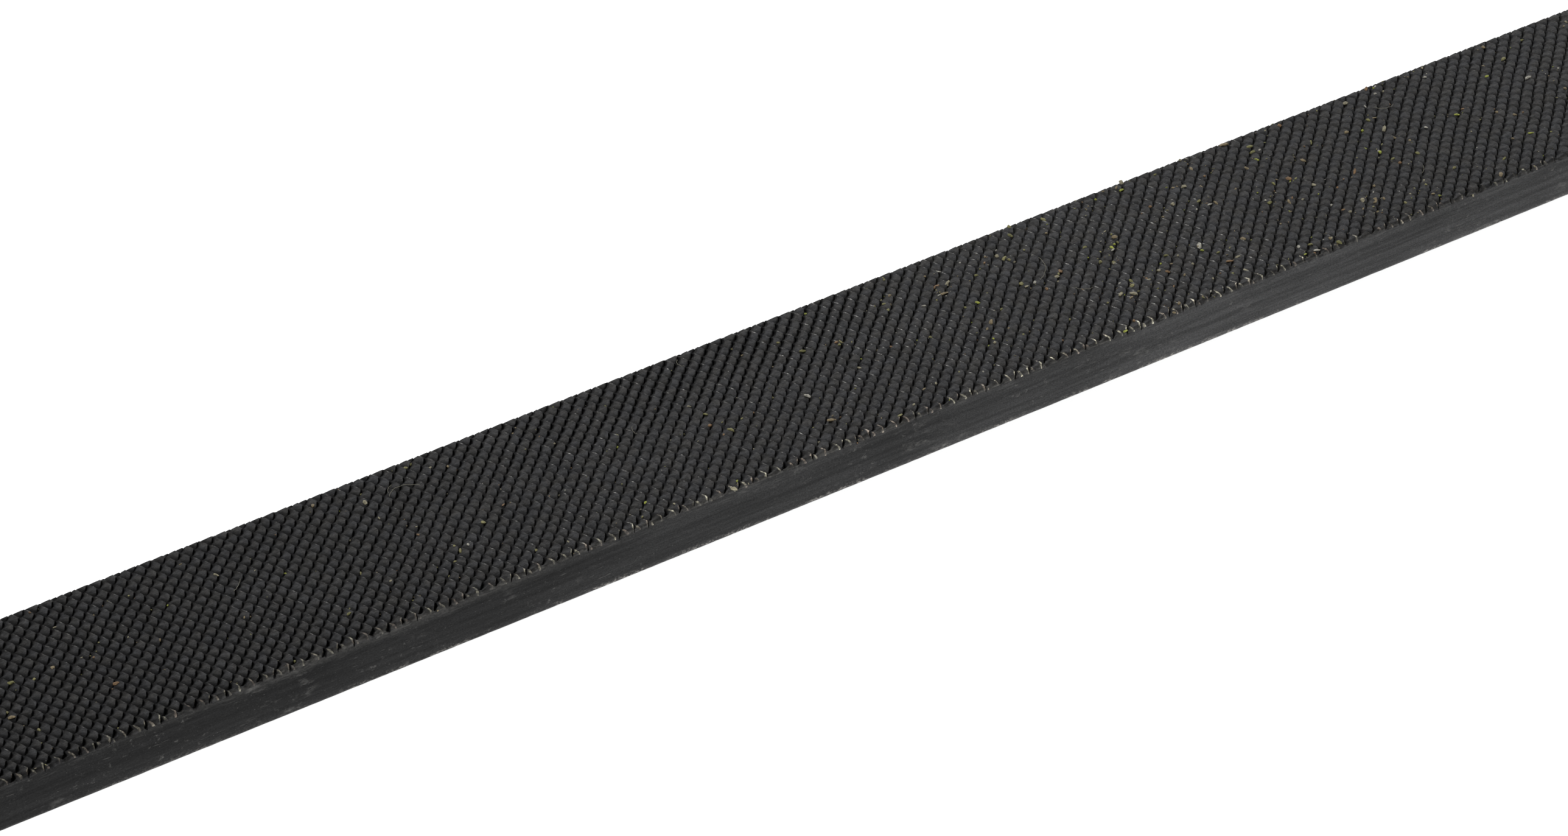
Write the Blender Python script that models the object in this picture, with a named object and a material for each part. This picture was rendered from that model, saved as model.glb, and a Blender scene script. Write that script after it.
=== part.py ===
"""Flat engineer's file, 150 mm, with a driven wooden handle and its ferrule.

Frame: the origin is the centre of the handle's flat butt. +X runs along the tool to
the point, +Y across the blade, away from its smooth edge, and +Z out of its upper face.
Lengths are in metres and angles in degrees.
"""

import math

import bmesh
import bpy

# ---- Blade: one forging, from the point to the tang's end ----
BLADE_LENGTH = 0.150  # heel to point
BLADE_WIDTH = 0.016
BLADE_THICKNESS = 0.0035  # at the belly's crown
BELLY_CROWN = 0.070  # heel to the thickest place
BELLY_FALL = 0.00007  # each face is this much lower 75 mm from the crown
BELLY_REACH = 0.075
CORNER_CHAMFER = 0.00025
POINT_CHAMFER = 0.0005

# ---- Cut: the upcut teeth, which cross the face and lean towards the smooth edge ----
CUT_START = 0.008  # heel to the first cut, on the centre line
CUT_STOP = 0.0015  # uncut strip at the point
CUT_PITCH = 0.00089  # along the blade: 11 teeth to the centimetre
CUT_ANGLE = 66.0  # between a tooth's edge and the blade's length
CUT_DEPTH = 0.00030
TOOTH_LAND = 0.00004  # height by which the sharp crest is worn flat
RAKE_SHARE = 0.16  # share of the pitch taken by the tooth's steep front

# ---- Tang and shoulders ----
TANG_LENGTH = 0.045  # heel to the tang's end
SHOULDER_LENGTH = 0.007
TANG_GAP = 0.003  # bare tang between the shoulders and the ferrule
TANG_ROOT_WIDTH = 0.0085
TANG_ROOT_THICKNESS = 0.0032
TANG_END_WIDTH = 0.0030
TANG_END_THICKNESS = 0.0020

# ---- Handle: turned hardwood, its grip planed to eight flats that stop it rolling ----
HANDLE_LENGTH = 0.100  # butt to the ferrule's front
BUTT_RADIUS = 0.0050
BELLY_RADIUS = 0.0122  # to the middle of a flat
BELLY_PLACE = 0.034
GRIP_FLATS = 8
FLATS_START = 0.014
FLATS_END = 0.056
FLATS_FADE = 0.014  # length in which the flats run out into the round at either end
FLAT_HALF_ANGLE = 16.0  # from a flat's middle to the rounding of its arris
ARRIS_SHARE = 0.8  # how far an arris stands out, against a sharp one
WAIST_RADIUS = 0.0090
WAIST_PLACE = 0.067
COLLAR_RADIUS = 0.0100
COLLAR_PLACE = 0.080
COLLAR_EDGE_RADIUS = 0.0094
SOCKET_SPARE = 0.002  # the socket runs this far past the tang's end

# ---- Ferrule: drawn steel cup with an open front ----
FERRULE_LENGTH = 0.014
FERRULE_RADIUS = 0.0086
FERRULE_WALL = 0.0008
FERRULE_MOUTH_RADIUS = 0.0056
FERRULE_EDGE_ROUND = 0.0005

CLEARANCE = 0.0003  # between pieces that touch
CUT_OVERSHOOT = 0.001  # a cutter runs this far past what it cuts
TURNED_SIDES = 40
DOME_STEPS = 8
GRIP_STEPS = 6  # between two stations of the grip
EDGE_ROUND_STEPS = 4
SHOULDER_STEPS = 8
BELLY_STEPS = 14
SMOOTH_BELOW = 35.0  # facets that meet at less than this are shaded as one

# ---- Places that follow from the sizes above, along X ----
ferrule_back = HANDLE_LENGTH - FERRULE_LENGTH
collar_end = ferrule_back - CLEARANCE
seat_end = HANDLE_LENGTH - FERRULE_WALL - CLEARANCE
seat_radius = FERRULE_RADIUS - FERRULE_WALL - CLEARANCE
tang_root = HANDLE_LENGTH + TANG_GAP
heel = tang_root + SHOULDER_LENGTH
tang_end = heel - TANG_LENGTH
point = heel + BLADE_LENGTH
belly_crown = heel + BELLY_CROWN
cut_start = heel + CUT_START


def clear_scene():
    for thing in list(bpy.data.objects):
        bpy.data.objects.remove(thing, do_unlink=True)


def make_material(name, colour, roughness, metallic):
    material = bpy.data.materials.new(name)
    material.use_nodes = True
    shader = material.node_tree.nodes["Principled BSDF"]
    shader.inputs["Base Color"].default_value = (*colour, 1.0)
    shader.inputs["Roughness"].default_value = roughness
    shader.inputs["Metallic"].default_value = metallic
    return material


def add_object(name, shape, material=None):
    """Turn a bmesh into an object in the scene."""
    bmesh.ops.recalc_face_normals(shape, faces=shape.faces)
    mesh = bpy.data.meshes.new(name)
    shape.to_mesh(mesh)
    shape.free()
    thing = bpy.data.objects.new(name, mesh)
    bpy.context.scene.collection.objects.link(thing)
    if material:
        mesh.materials.append(material)
    return thing


def shade_round(thing):
    thing.data.shade_smooth()
    thing.data.set_sharp_from_angle(angle=math.radians(SMOOTH_BELOW))


def subtract(thing, cutter):
    """Cut one solid out of another with a live Boolean, and keep the cutter out of sight."""
    cutter.hide_render = True
    cutter.display_type = "WIRE"
    boolean = thing.modifiers.new(f"cut_{cutter.name}", "BOOLEAN")
    boolean.operation = "DIFFERENCE"
    boolean.solver = "EXACT"
    boolean.object = cutter


def ease(start, end, share):
    """A value between start and end that leaves and arrives level."""
    return start + (end - start) * (1 - math.cos(math.pi * share)) / 2


def loft(sections):
    """Skin a row of cross-sections, each a ring of points, and cap both ends."""
    shape = bmesh.new()
    rings = [[shape.verts.new(corner) for corner in section] for section in sections]
    for ring, following in zip(rings, rings[1:]):
        for corner in range(len(ring)):
            after = (corner + 1) % len(ring)
            shape.faces.new((ring[corner], ring[after], following[after], following[corner]))
    shape.faces.new(rings[0])
    shape.faces.new(rings[-1])
    return shape


def revolve(profile):
    """Turn a closed outline of (x, radius) points about the X axis."""
    shape = bmesh.new()
    corners = [shape.verts.new((x, 0, radius)) for x, radius in profile]
    edges = [shape.edges.new(pair) for pair in zip(corners, corners[1:] + corners[:1])]
    bmesh.ops.spin(
        shape,
        geom=corners + edges,
        cent=(0, 0, 0),
        axis=(1, 0, 0),
        angle=math.tau,
        steps=TURNED_SIDES,
        use_merge=True,
    )
    bmesh.ops.remove_doubles(shape, verts=shape.verts, dist=1e-7)
    return shape


def face_height(x):
    """Height of the uncut face above the blade's middle plane, lower on both sides of the crown."""
    fall = BELLY_FALL * ((x - belly_crown) / BELLY_REACH) ** 2
    return BLADE_THICKNESS / 2 - fall


def tang_section(x):
    """Half width and half thickness of the tapered tang."""
    share = (x - tang_end) / (tang_root - tang_end)
    half_width = TANG_END_WIDTH + (TANG_ROOT_WIDTH - TANG_END_WIDTH) * share
    half_thickness = TANG_END_THICKNESS + (TANG_ROOT_THICKNESS - TANG_END_THICKNESS) * share
    return half_width / 2, half_thickness / 2


def square_section(x, half_width, half_thickness):
    """Four corners of a plain bar's cross-section at x."""
    return [
        (x, half_width, -half_thickness),
        (x, half_width, half_thickness),
        (x, -half_width, half_thickness),
        (x, -half_width, -half_thickness),
    ]


def chamfered_bar(x, half_width, half_thickness, chamfer):
    """Eight corners of the bar's cross-section at x."""
    inner_y = half_width - chamfer
    inner_z = half_thickness - chamfer
    return [
        (x, half_width, -inner_z),
        (x, half_width, inner_z),
        (x, inner_y, half_thickness),
        (x, -inner_y, half_thickness),
        (x, -half_width, inner_z),
        (x, -half_width, -inner_z),
        (x, -inner_y, -half_thickness),
        (x, inner_y, -half_thickness),
    ]


def blade_blank():
    """The forging before it is cut: tang, shoulders, plain heel, bellied blade and point."""
    half_width = BLADE_WIDTH / 2
    root_width, root_thickness = tang_section(tang_root)
    heel_height = face_height(cut_start)
    sections = [chamfered_bar(tang_end, *tang_section(tang_end), CORNER_CHAMFER)]
    for step in range(SHOULDER_STEPS + 1):
        share = step / SHOULDER_STEPS
        x = tang_root + SHOULDER_LENGTH * share
        width = ease(root_width, half_width, share)
        thickness = ease(root_thickness, heel_height, share)
        sections.append(chamfered_bar(x, width, thickness, CORNER_CHAMFER))
    shank_end = point - POINT_CHAMFER
    for step in range(BELLY_STEPS + 1):
        x = cut_start + (shank_end - cut_start) * step / BELLY_STEPS
        sections.append(chamfered_bar(x, half_width, face_height(x), CORNER_CHAMFER))
    end_width = half_width - POINT_CHAMFER
    end_height = face_height(point) - POINT_CHAMFER
    sections.append(chamfered_bar(point, end_width, end_height, CORNER_CHAMFER))
    return loft(sections)


def tooth_comb():
    """Everything above the upper face's teeth: a sawtooth outline drawn out along their slant.

    Its upper corners lie TOOTH_LAND above the blade's face, which leaves each crest a
    narrow flat.
    """
    slant = 1 / math.tan(math.radians(CUT_ANGLE))
    reach = BLADE_WIDTH / 2 + CUT_OVERSHOOT
    last_cut = point + CUT_OVERSHOOT + reach * slant
    tooth_count = math.ceil((last_cut - cut_start) / CUT_PITCH)
    outline = [(cut_start, TOOTH_LAND)]
    for tooth in range(tooth_count):
        crest = cut_start + tooth * CUT_PITCH
        outline.append((crest + RAKE_SHARE * CUT_PITCH, -CUT_DEPTH))
        outline.append((crest + CUT_PITCH, TOOTH_LAND))
    outline.append((outline[-1][0], BLADE_THICKNESS))
    outline.append((cut_start, BLADE_THICKNESS))
    ends = []
    for y in (-reach, reach):
        ends.append([(x - y * slant, y, face_height(x - y * slant) + z) for x, z in outline])
    return loft(ends)


def point_guard():
    """A block over the uncut strip, to keep the tooth comb off it."""
    start = point - CUT_STOP
    end = point + BLADE_WIDTH * 2
    return loft([square_section(x, BLADE_WIDTH, BLADE_THICKNESS * 2) for x in (start, end)])


def make_blade():
    steel = make_material("file_steel", (0.045, 0.045, 0.044), 0.42, 0.9)
    blade = add_object("file_blade", blade_blank(), steel)
    guard = add_object("point_guard", point_guard())
    for name, turn in (("upper_tooth_comb", 0), ("lower_tooth_comb", math.pi)):
        comb = add_object(name, tooth_comb())
        comb.rotation_euler.x = turn
        subtract(comb, guard)
        subtract(blade, comb)


def handle_profile():
    """The outline from the butt's flat, over the grip, to the end of the ferrule's seat."""
    profile = []
    for step in range(DOME_STEPS):
        turn = math.pi / 2 * step / DOME_STEPS
        x = BELLY_PLACE * (1 - math.cos(turn))
        profile.append((x, BUTT_RADIUS + (BELLY_RADIUS - BUTT_RADIUS) * math.sin(turn)))
    stations = [
        (BELLY_PLACE, BELLY_RADIUS),
        (WAIST_PLACE, WAIST_RADIUS),
        (COLLAR_PLACE, COLLAR_RADIUS),
        (collar_end, COLLAR_EDGE_RADIUS),
    ]
    for (x, radius), (next_x, next_radius) in zip(stations, stations[1:]):
        for step in range(GRIP_STEPS):
            share = step / GRIP_STEPS
            profile.append((x + (next_x - x) * share, ease(radius, next_radius, share)))
    profile += [
        (collar_end, COLLAR_EDGE_RADIUS),
        (collar_end, seat_radius),
        (seat_end, seat_radius),
    ]
    return profile


def tang_socket():
    """The tapered slot that holds the tang with the clearance all round."""
    deep = tang_end - SOCKET_SPARE
    mouth = seat_end + CUT_OVERSHOOT
    sections = []
    for x in (deep, mouth):
        half_width, half_thickness = tang_section(x)
        sections.append(square_section(x, half_width + CLEARANCE, half_thickness + CLEARANCE))
    return loft(sections)


def flats_share(x):
    """How flat the grip's eight sides are at x: 1 is an octagon and 0 is round."""
    if x < FLATS_START:
        return ease(0, 1, max(0, 1 - (FLATS_START - x) / FLATS_FADE))
    return ease(0, 1, max(0, 1 - max(0, x - FLATS_END) / FLATS_FADE))


def handle_section(x, radius):
    """A ring of the handle: four points for each flat, the fourth on the arris after it."""
    half_side = math.radians(180 / GRIP_FLATS)
    flat_edge = math.radians(FLAT_HALF_ANGLE)
    share = flats_share(x)
    ring = []
    for side in range(GRIP_FLATS):
        for turn in (-flat_edge, 0, flat_edge, half_side):
            stand_out = 1 / math.cos(turn) - 1
            if turn == half_side:
                stand_out *= ARRIS_SHARE
            reach = radius * (1 + share * stand_out)
            angle = 2 * half_side * side + turn
            ring.append((x, reach * math.sin(angle), reach * math.cos(angle)))
    return ring


def make_handle():
    wood = make_material("handle_wood", (0.52, 0.30, 0.13), 0.38, 0.0)
    sections = [handle_section(x, radius) for x, radius in handle_profile()]
    handle = add_object("handle", loft(sections), wood)
    shade_round(handle)
    subtract(handle, add_object("tang_socket_cutter", tang_socket()))


def ferrule_profile():
    """The cup's wall, from its open back, round the front edge and over the lip to the mouth."""
    rounding = []
    for step in range(EDGE_ROUND_STEPS + 1):
        turn = math.pi / 2 * step / EDGE_ROUND_STEPS
        x = HANDLE_LENGTH - FERRULE_EDGE_ROUND * (1 - math.sin(turn))
        rounding.append((x, FERRULE_RADIUS - FERRULE_EDGE_ROUND * (1 - math.cos(turn))))
    bore = FERRULE_RADIUS - FERRULE_WALL
    lip_back = HANDLE_LENGTH - FERRULE_WALL
    return [
        (ferrule_back, bore),
        (ferrule_back, FERRULE_RADIUS),
        *rounding,
        (HANDLE_LENGTH, FERRULE_MOUTH_RADIUS),
        (lip_back, FERRULE_MOUTH_RADIUS),
        (lip_back, bore),
    ]


def make_ferrule():
    steel = make_material("ferrule_steel", (0.62, 0.62, 0.60), 0.25, 1.0)
    ferrule = add_object("ferrule", revolve(ferrule_profile()), steel)
    shade_round(ferrule)


clear_scene()
make_blade()
make_handle()
make_ferrule()
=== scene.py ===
"""The looks of a flat file: its double-cut blade, its wooden handle and its ferrule.

Everything is in metres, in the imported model's frame: +X runs to the point, -Y lies
towards the smooth edge and +Z comes out of the upper face. Angles are in degrees.
"""

import math
import random

import bmesh
import bpy
from mathutils import Matrix, Vector, noise


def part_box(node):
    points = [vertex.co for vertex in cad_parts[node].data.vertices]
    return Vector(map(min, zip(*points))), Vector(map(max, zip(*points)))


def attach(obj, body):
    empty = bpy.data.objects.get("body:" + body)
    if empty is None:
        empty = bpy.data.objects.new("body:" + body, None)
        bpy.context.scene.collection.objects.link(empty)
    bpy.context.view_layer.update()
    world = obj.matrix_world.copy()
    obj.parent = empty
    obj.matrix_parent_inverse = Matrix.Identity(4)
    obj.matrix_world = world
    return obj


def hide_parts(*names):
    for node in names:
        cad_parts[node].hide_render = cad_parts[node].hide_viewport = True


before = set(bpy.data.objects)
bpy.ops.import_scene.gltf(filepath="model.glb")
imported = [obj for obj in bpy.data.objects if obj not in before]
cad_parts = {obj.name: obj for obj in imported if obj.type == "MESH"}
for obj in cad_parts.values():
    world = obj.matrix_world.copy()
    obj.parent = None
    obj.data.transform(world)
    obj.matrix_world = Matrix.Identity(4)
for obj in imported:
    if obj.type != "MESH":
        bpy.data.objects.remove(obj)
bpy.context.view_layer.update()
tang_tip, blade_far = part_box("file_blade")
_, handle_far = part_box("handle")
ferrule_near, ferrule_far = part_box("ferrule")

# ---- Blade ----
BLADE_LENGTH = 0.150  # heel to point
SHOULDER_LENGTH = 0.007
TANG_ROOT_WIDTH = 0.0085
TANG_ROOT_THICKNESS = 0.0032
TANG_END_WIDTH = 0.0030
TANG_END_THICKNESS = 0.0020
BELLY_CROWN = 0.070  # heel to the thickest place
BELLY_FALL = 0.00007  # each face is this much lower 75 mm from the crown
BELLY_REACH = 0.075
CORNER_ROUND = 0.00028  # radius of the blade's long corners
CORNER_SHARES = (0.0, 0.12, 0.35, 0.7, 1.0)  # where the rounding has its rows of points
POINT_CHAMFER = 0.0005
TANG_RINGS = 30
SHOULDER_RINGS = 24
HIDDEN_ROUND = CORNER_ROUND * 0.01  # the middle's corners, which the cut faces cover
# An edge stays sharp where its faces meet at more than this.
TEETH_SHARP_ABOVE = 50
BODY_SHARP_ABOVE = 40

# ---- Cut: both families of teeth face the point ----
CUT_START = 0.008  # heel to the first upcut tooth, on the centre line
CUT_STOP = 0.0015  # uncut strip at the point
UPCUT_PITCH = 0.00089  # along the blade
UPCUT_ANGLE = -66.0
UPCUT_DEPTH = 0.00014
OVERCUT_PITCH = 0.001124
OVERCUT_ANGLE = 45.4
OVERCUT_DEPTH = 0.00022
OVERCUT_LEAD = 0.0012  # the overcut starts this much nearer the heel
OVERCUT_CREST = 0.91  # share of a tooth's pitch taken by its sloping back
UPCUT_CREST = 0.86
OVERCUT_FULLNESS = 0.28  # 1 is a straight back and less is a flatter one that rises sooner
UPCUT_FULLNESS = 0.50
UPCUT_BOW = 0.08  # how far the middle of a tooth's crest stands forward, in pitches
# A tooth's rows of points across the overcut, with the grime and painted shade in the slot and
# the wear and painted glint along the upcut's crest at each of them.
OVERCUT_BREAKS = (0.0, 0.05, 0.35, 0.65, OVERCUT_CREST, 1.0)
SLOT_DARK = (1.0, 0.42, 0.0, 0.0, 0.22, 1.0)
CREST_BRIGHT = (0.0, 0.15, 0.90, 1.0, 0.30, 0.0)
# Its rows across the upcut: how open the slot is there, as the upcut's burrs close both its
# ends, and how far the tooth is twisted forward, in overcut pitches.
UPCUT_BREAKS = (0.0, 0.14, 0.42, 0.68, UPCUT_CREST, 1.0)
SLOT_OPEN = (0.15, 0.80, 1.0, 0.95, 0.20, 0.05)
TOOTH_TWIST = (0.0, 0.10, 0.12, 0.055, -0.04, 0.0)
HOOK_BRIGHT = (0.0, 0.1, 0.5, 1.0, 1.0, 0.0)  # wear and painted glint down the side of the slot, near the rim
GULLET_DARK = (1.0, 0.9, 0.45, 0.0, 0.0, 1.0)  # painted shade behind the crest of the tooth before
FACE_MARGIN = 0.0015  # teeth are laid this far past the outline, then trimmed
SLAB_BOTTOM = 0.0009  # the cut faces are slabs that reach in to this height
SLAB_START = 0.0005  # heel to the start of both slabs
START_SLACK = 0.00004  # so that the first cut isn't lost to rounding
WELD_WITHIN = 0.000005

# ---- The cut's edges, and its unevenness ----
OVERCUT_RIM = 0.00016  # the overcut is at its full depth this far in from the smooth edge
UPCUT_RIM = 0.00010
LOWER_RIM = 0.00070  # both cuts stop shorter on the lower face
RIM_FADE = 0.00020  # and each fades out over this width
RIM_DEEPER = 0.60  # the overcut is deeper by this share beside the smooth edge
WORN_AND_GLINTING_RIM = 0.0013  # crests this near the smooth edge are rubbed bright and carry a painted glint
RIM_FULLY_WORN_AND_GLINTING = 0.0001
FAR_FADE = (0.0001, 0.0008)  # both cuts rise to their full depth here, in from the far edge
FAR_DEPTH = 0.45  # from this share of it
DEPTH_PATCH = 0.0022  # size of the patches over which the cuts' depth varies
DEPTH_SPREAD = 0.7  # and by how much of it
RIM_PATCH = 0.0009
RIM_SPREAD = 0.5
CREST_PATCH = 0.0006  # crests are worn down unevenly, in patches of this size
CREST_WORN = 0.00005
CREST_LEAST = 0.000008
CREST_ROUND = 0.00002  # rounding where both cuts meet
BURR_PATCH = 0.0004  # a burr's own unevenness in plan
BURR_SHIFT = 0.00018
BURR_SHIFT_AT_RIM = 0.00016  # and so much more beside the smooth edge
DRIFT_PATCH = 0.006  # slow wandering of the rows of teeth
DRIFT_SHIFT = 0.00022

# ---- Far edge, which has a single cut ----
EDGE_DEPTH = 0.00015
EDGE_PITCH = 0.00095
EDGE_ANGLE = 68.0
EDGE_FULLNESS = 0.62  # height of a ridge's back half way up it
EDGE_HEIGHT = 0.00135  # half of a ridge's length, across the edge
EDGE_END = 0.00015  # each end of a ridge slopes down over this
EDGE_SINK = 0.00003  # and ends this far under the edge's surface
EDGE_UNEVENNESS = 0.25
EDGE_SEED = 4

# ---- Places that follow along X ----
point = blade_far.x
half_width = blade_far.y
half_thickness = blade_far.z
heel = point - BLADE_LENGTH
tang_end = tang_tip.x
tang_root = heel - SHOULDER_LENGTH
belly_crown = heel + BELLY_CROWN
cut_start = heel + CUT_START
slab_start = heel + SLAB_START
slab_end = point - CUT_STOP
toothed_half_width = half_width - EDGE_DEPTH


# ------------------------------------------------------------------ wiring of node trees

SOCKET_KINDS = {
    float: "Float",
    int: "Int",
    Vector: "Vector",
    bpy.types.Object: "Object",
    bpy.types.Material: "Material",
}


class Wiring:
    """Adds nodes to a tree. A socket takes a plain value or another node's output."""

    def __init__(self, tree):
        self.tree = tree

    def add(self, kind, sockets=(), output=0, **settings):
        node = self.tree.nodes.new(kind)
        for name, value in settings.items():
            setattr(node, name, value)
        for name, value in dict(sockets).items():
            socket = node.inputs[name]
            if isinstance(value, bpy.types.NodeSocket):
                self.tree.links.new(value, socket)
            else:
                socket.default_value = value
        return node.outputs[output]

    def maths(self, operation, *values):
        return self.add("ShaderNodeMath", enumerate(values), operation=operation)

    def fold(self, operation, values):
        """Join several values, two by two."""
        result = values[0]
        for value in values[1:]:
            result = self.maths(operation, result, value)
        return result

    def times(self, *values):
        return self.fold("MULTIPLY", values)

    def total(self, *values):
        return self.fold("ADD", values)

    def most(self, *values):
        return self.fold("MAXIMUM", values)

    def minus(self, value, less):
        return self.maths("SUBTRACT", value, less)

    def window(self, value, low, high, floor=0.0, top=1.0):
        """Spread the part of a value between low and high over floor to top."""
        sockets = {"Value": value, 1: low, 2: high, 3: floor, 4: top}
        return self.add("ShaderNodeMapRange", sockets, interpolation_type="SMOOTHSTEP")

    def bell(self, value, middle, spread):
        """1 where a value is at its middle, and less on both sides of it."""
        off = self.maths("DIVIDE", self.minus(value, middle), spread)
        return self.maths("EXPONENT", self.times(off, off, -1.0))

    def vector(self, operation, *values):
        return self.add("ShaderNodeVectorMath", enumerate(values), operation=operation)

    def scaled(self, value, scale):
        return self.add("ShaderNodeVectorMath", {0: value, 3: scale}, operation="SCALE")

    def joined(self, *values):
        return self.add("ShaderNodeCombineXYZ", enumerate(values))

    def split(self, value):
        node = self.add("ShaderNodeSeparateXYZ", {0: value}).node
        return list(node.outputs)

    def send_out(self, geometry, material):
        """End a geometry tree: give the geometry its material and make it the result."""
        geometry = self.add("GeometryNodeSetMaterial", {"Geometry": geometry, "Material": material})
        result = self.tree.nodes.new("NodeGroupOutput")
        self.tree.links.new(geometry, result.inputs[0])


def tree_with_inputs(name, values):
    """A Geometry Nodes tree with a named input for each value; returns its wiring and inputs."""
    tree = bpy.data.node_groups.new(name, "GeometryNodeTree")
    tree.interface.new_socket("Geometry", in_out="OUTPUT", socket_type="NodeSocketGeometry")
    for label, value in values.items():
        kind = SOCKET_KINDS[type(value)]
        tree.interface.new_socket(label, in_out="INPUT", socket_type=f"NodeSocket{kind}")
    return Wiring(tree), tree.nodes.new("NodeGroupInput").outputs


def grow(name, wiring, values):
    """Run a tree with its named inputs and keep the result as a plain mesh object."""
    thing = bpy.data.objects.new(name, bpy.data.meshes.new(name))
    bpy.context.scene.collection.objects.link(thing)
    modifier = thing.modifiers.new(name, "NODES")
    modifier.node_group = wiring.tree
    for item in wiring.tree.interface.items_tree:
        if item.in_out == "INPUT":
            modifier[item.identifier] = values[item.name]
    keep_result(thing)
    thing.data.materials.clear()
    thing.data.materials.append(values["Material"])
    return thing


def keep_result(thing):
    """Replace a piece's mesh by what its modifiers make of it."""
    evaluated = thing.evaluated_get(bpy.context.evaluated_depsgraph_get())
    mesh = bpy.data.meshes.new_from_object(evaluated)
    thing.modifiers.clear()
    thing.data = mesh


def discard(thing):
    bpy.data.objects.remove(thing, do_unlink=True)


# ------------------------------------------------------------------ mesh helpers


def add_object(name, shape, *materials):
    """Turn a bmesh into an object in the scene."""
    mesh = bpy.data.meshes.new(name)
    shape.to_mesh(mesh)
    shape.free()
    thing = bpy.data.objects.new(name, mesh)
    bpy.context.scene.collection.objects.link(thing)
    for material in materials:
        mesh.materials.append(material)
    return thing


def loft(shape, sections, closed=False):
    """Skin a row of cross-sections, each a ring of points, and cap both ends unless closed."""
    rings = [[shape.verts.new(corner) for corner in section] for section in sections]
    pairs = list(zip(rings, rings[1:]))
    if closed:
        pairs.append((rings[-1], rings[0]))
    for ring, following in pairs:
        for corner in range(len(ring)):
            after = (corner + 1) % len(ring)
            shape.faces.new((ring[corner], ring[after], following[after], following[corner]))
    if not closed:
        shape.faces.new(rings[0])
        shape.faces.new(rings[-1])


def face_outward(shape):
    """Turn the normals of a closed shape outwards, or an open one's all to one side."""
    bmesh.ops.recalc_face_normals(shape, faces=shape.faces)


def shade(thing, sharp_above):
    """Smooth shading, with an edge kept sharp where its faces meet at more than this."""
    thing.data.shade_smooth()
    thing.data.set_sharp_from_angle(angle=math.radians(sharp_above))


def ease(start, end, share):
    """A value between start and end that leaves and arrives level."""
    return start + (end - start) * (1 - math.cos(math.pi * share)) / 2


def face_height(x):
    """Height of the blade's uncut face above its middle plane."""
    return half_thickness - BELLY_FALL * ((x - belly_crown) / BELLY_REACH) ** 2


# ------------------------------------------------------------------ materials


class Finish(Wiring):
    """A material made of one Principled shader and the nodes that feed it."""

    def __init__(self, name, **constants):
        self.material = bpy.data.materials.new(name)
        self.material.use_nodes = True
        super().__init__(self.material.node_tree)
        self.shader = self.tree.nodes["Principled BSDF"]
        self.place = self.add("ShaderNodeTexCoord", output=3)
        for label, value in constants.items():
            self.shader.inputs[label.replace("_", " ")].default_value = value

    def feed(self, label, value):
        self.tree.links.new(value, self.shader.inputs[label])

    def noise(self, size, stretch=(1, 1, 1), detail=3.0, roughness=0.5, shift=(0, 0, 0)):
        """A cloudy pattern from 0 to 1 whose patches are about this size, in metres."""
        scale = [share / size for share in stretch]
        mapping = {"Vector": self.place, "Location": shift, "Scale": scale}
        mapped = self.add("ShaderNodeMapping", mapping)
        sockets = {"Vector": mapped, "Scale": 1.0, "Detail": detail, "Roughness": roughness}
        return self.add("ShaderNodeTexNoise", sockets)

    def patches(self, size, levels, **pattern):
        """A cloudy pattern sharpened between two levels, and spread over the next two if given."""
        return self.window(self.noise(size, **pattern), *levels)

    def attribute(self, name):
        return self.add("ShaderNodeAttribute", output=2, attribute_name=name)

    def blend(self, share, under, over):
        """Lay one colour over another; each is a colour or a socket."""
        node = self.tree.nodes.new("ShaderNodeMix")
        node.data_type = "RGBA"
        for slot, value in ((0, share), (6, under), (7, over)):
            if isinstance(value, bpy.types.NodeSocket):
                self.tree.links.new(value, node.inputs[slot])
            else:
                node.inputs[slot].default_value = (*value, 1.0)
        return node.outputs[2]

    def relief(self, height, depth, under=None):
        """A bump this many metres deep; under is a bump that it is laid on."""
        sockets = {"Height": height, "Distance": depth, "Strength": 1.0}
        if under:
            sockets["Normal"] = under
        return self.add("ShaderNodeBump", sockets)


GROUND_TONE = (0.030, 0.030, 0.0303)
BACK_TONE = (0.038, 0.038, 0.0385)
PALE_MARK = (0.17, 0.167, 0.160)
WORN_CORNER = (0.150, 0.146, 0.137)
KNOCKED_CORNER = (0.45, 0.43, 0.40)
# Bright wear with a painted glint, on the crests and on the teeth by the smooth edge.
WORN_STEEL_AND_GLINT = (0.62, 0.61, 0.58)
RIM_WORN_AND_GLINT = (0.95, 0.90, 0.70)
RIM_RUST = (0.52, 0.43, 0.35)
# Near black: grime and painted shade in the slots, and painted shade alone in the gullets.
GRIME_AND_SHADE = (0.0030, 0.0029, 0.0031)
PACKED_DUST = (0.105, 0.103, 0.097)  # filings ground fine, in the slots towards the point
# Stretches of the blade, from its heel, over which its dirt, wear, painted shade and painted
# glints change.
CORNER_RUBS_BEGIN = (0.012, 0.038)
HEEL_SHADE_FADES = (0.015, 0.125)  # painted shade: the steel is darkest at the first of these, nearest the heel
# Painted shade in the gullets fades out over this stretch.
GULLET_SHADE_FADES = (0.015, 0.070)
KNOCKS_BEGIN = (0.025, 0.055)
RIM_DIRT_AND_SHADE_END = (0.030, 0.048)
SLOT_DIRT_AND_SHADE_THIN = (0.032, 0.058)
WEAR_AND_GLINTS_BEGIN = (0.038, 0.072)
SIDE_RUBS_END = (0.040, 0.058)
BRIGHT_TEETH_END = (0.075, 0.105)
DUST_BEGINS = (0.076, 0.108)
BACKS_DARKEN = (0.098, 0.124)
WEAR_AND_GLINTS_EASE = (0.098, 0.128)
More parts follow.
